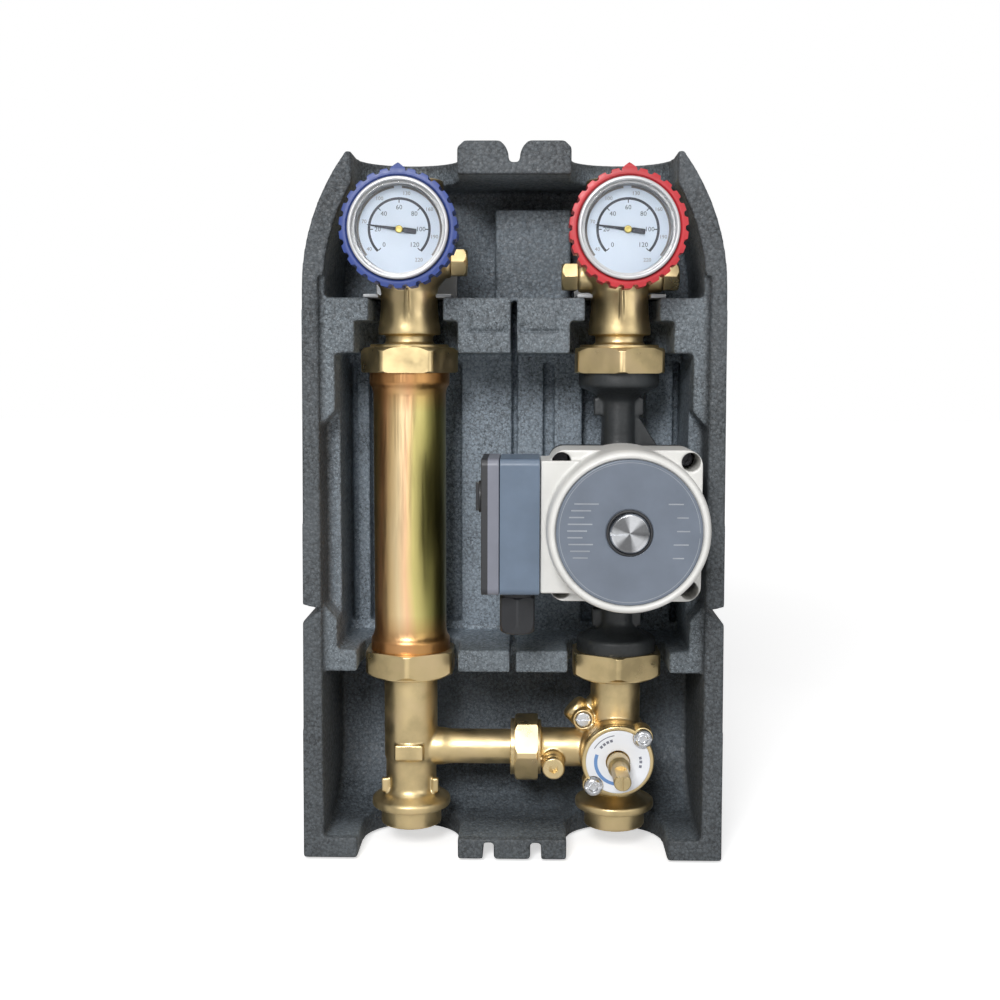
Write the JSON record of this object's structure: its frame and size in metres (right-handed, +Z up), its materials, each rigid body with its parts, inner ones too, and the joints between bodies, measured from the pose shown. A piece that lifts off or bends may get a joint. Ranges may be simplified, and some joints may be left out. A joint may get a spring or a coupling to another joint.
{
  "type": "heating circuit pump station",
  "caption": "Mixed-circuit heating pump station in a foam rear shell: two thermometer ball valves, spacer pipe, mixing valve and wet-rotor pump.",
  "frame": {"origin": "middle of the shell's flat back face, in the plane of the wall, midway between the two pipe axes", "axes": "+X to the right seen from the front, +Y into the wall, +Z up"},
  "size_m": [0.25, 0.1843, 0.4209],
  "materials": {
    "foam": "expanded foam, matte",
    "brass": "satin",
    "zinc": "zinc plated",
    "chromate": "yellow chromate, glossy",
    "steel": "bright",
    "chrome": "polished",
    "iron": "black paint",
    "cream": "cream enamel",
    "label": "satin",
    "box": "satin",
    "black": "matte",
    "blue": "satin",
    "red": "satin",
    "bezel": "polished",
    "dial": "printed",
    "glass": "clear",
    "sealing": "fibre",
    "seat": "smooth",
    "copper": "varnished winding",
    "scale": "satin"
  },
  "bodies": {
    "station": {"rear_shell": "foam", "return_valve_bracket": "zinc", "flow_valve_bracket": "zinc", "return_valve_plug": "brass", "flow_valve_plug_left": "brass", "flow_valve_plug_right": "brass", "cross_union_nut": "brass", "gasket_cross": "sealing", "spacer_pipe": "chromate", "return_tee": "brass", "mixing_valve_body": "brass", "mixing_cover": "brass", "mixing_scale_plate": "scale", "mixing_screw_upper": "zinc", "mixing_screw_lower": "zinc", "bypass_plug": "brass", "pump_housing": "iron", "pump_bearing_plate": "steel", "pump_rotor_can": "steel", "pump_stator": "copper", "motor_housing": "cream", "motor_label_plate": "label", "motor_vent_screw": "chrome", "terminal_box": "box", "terminal_box_lid": "box", "cable_gland": "black", "return_valve_body": "brass", "return_valve_seat_lower": "seat", "return_valve_seat_upper": "seat", "union_nut_return_upper": "brass", "gasket_return_upper": "sealing", "union_nut_return_lower": "brass", "gasket_return_lower": "sealing", "flow_valve_body": "brass", "flow_valve_seat_lower": "seat", "flow_valve_seat_upper": "seat", "union_nut_flow_upper": "brass", "gasket_flow_upper": "sealing", "union_nut_flow_lower": "brass", "gasket_flow_lower": "sealing"},
    "return_handle": {"return_valve_ball": "chrome", "return_valve_stem": "brass", "return_handle": "blue", "return_thermometer_case": "bezel", "return_thermometer_dial": "dial", "return_thermometer_lens": "glass"},
    "return_pointer": {"return_thermometer_pointer": "black"},
    "flow_handle": {"flow_valve_ball": "chrome", "flow_valve_stem": "brass", "flow_handle": "red", "flow_thermometer_case": "bezel", "flow_thermometer_dial": "dial", "flow_thermometer_lens": "glass"},
    "flow_pointer": {"flow_thermometer_pointer": "black"},
    "mixing_spindle": {"mixing_spindle": "brass", "mixing_rotor": "steel"},
    "pump_rotor": {"pump_impeller": "steel", "pump_rotor": "steel"},
    "speed_selector": {"speed_selector": "black"},
    "bypass_screw": {"bypass_screw": "steel"}
  },
  "joints": [
    {"name": "return_handle_turn", "type": "hinge", "parent": "station", "child": "return_handle", "pos_m": [-0.0625, -0.08, 0.158], "axis": [0, 1, 0], "range_deg": [0, 90]},
    {"name": "return_pointer_swing", "type": "hinge", "parent": "return_handle", "child": "return_pointer", "pos_m": [-0.0625, -0.08, 0.158], "axis": [0, 1, 0], "range_deg": [-53, 217]},
    {"name": "flow_handle_turn", "type": "hinge", "parent": "station", "child": "flow_handle", "pos_m": [0.0625, -0.08, 0.158], "axis": [0, 1, 0], "range_deg": [0, 90]},
    {"name": "flow_pointer_swing", "type": "hinge", "parent": "flow_handle", "child": "flow_pointer", "pos_m": [0.0625, -0.08, 0.158], "axis": [0, 1, 0], "range_deg": [-53, 217]},
    {"name": "mixing_spindle_turn", "type": "hinge", "parent": "station", "child": "mixing_spindle", "pos_m": [0.0625, -0.08, -0.149], "axis": [0, 1, 0], "range_deg": [0, 90]},
    {"name": "pump_rotor_spin", "type": "hinge", "parent": "station", "child": "pump_rotor", "pos_m": [0.0625, -0.08, -0.004], "axis": [0, 1, 0], "continuous": true},
    {"name": "speed_selector_turn", "type": "hinge", "parent": "station", "child": "speed_selector", "pos_m": [-0.017, -0.137, 0.011], "axis": [1, 0, 0], "range_deg": [-60, 60]},
    {"name": "bypass_screw_turn", "type": "hinge", "parent": "station", "child": "bypass_screw", "pos_m": [0.0427, -0.08, -0.1292], "axis": [0, 1, 0], "range_deg": [0, 90]}
  ]
}
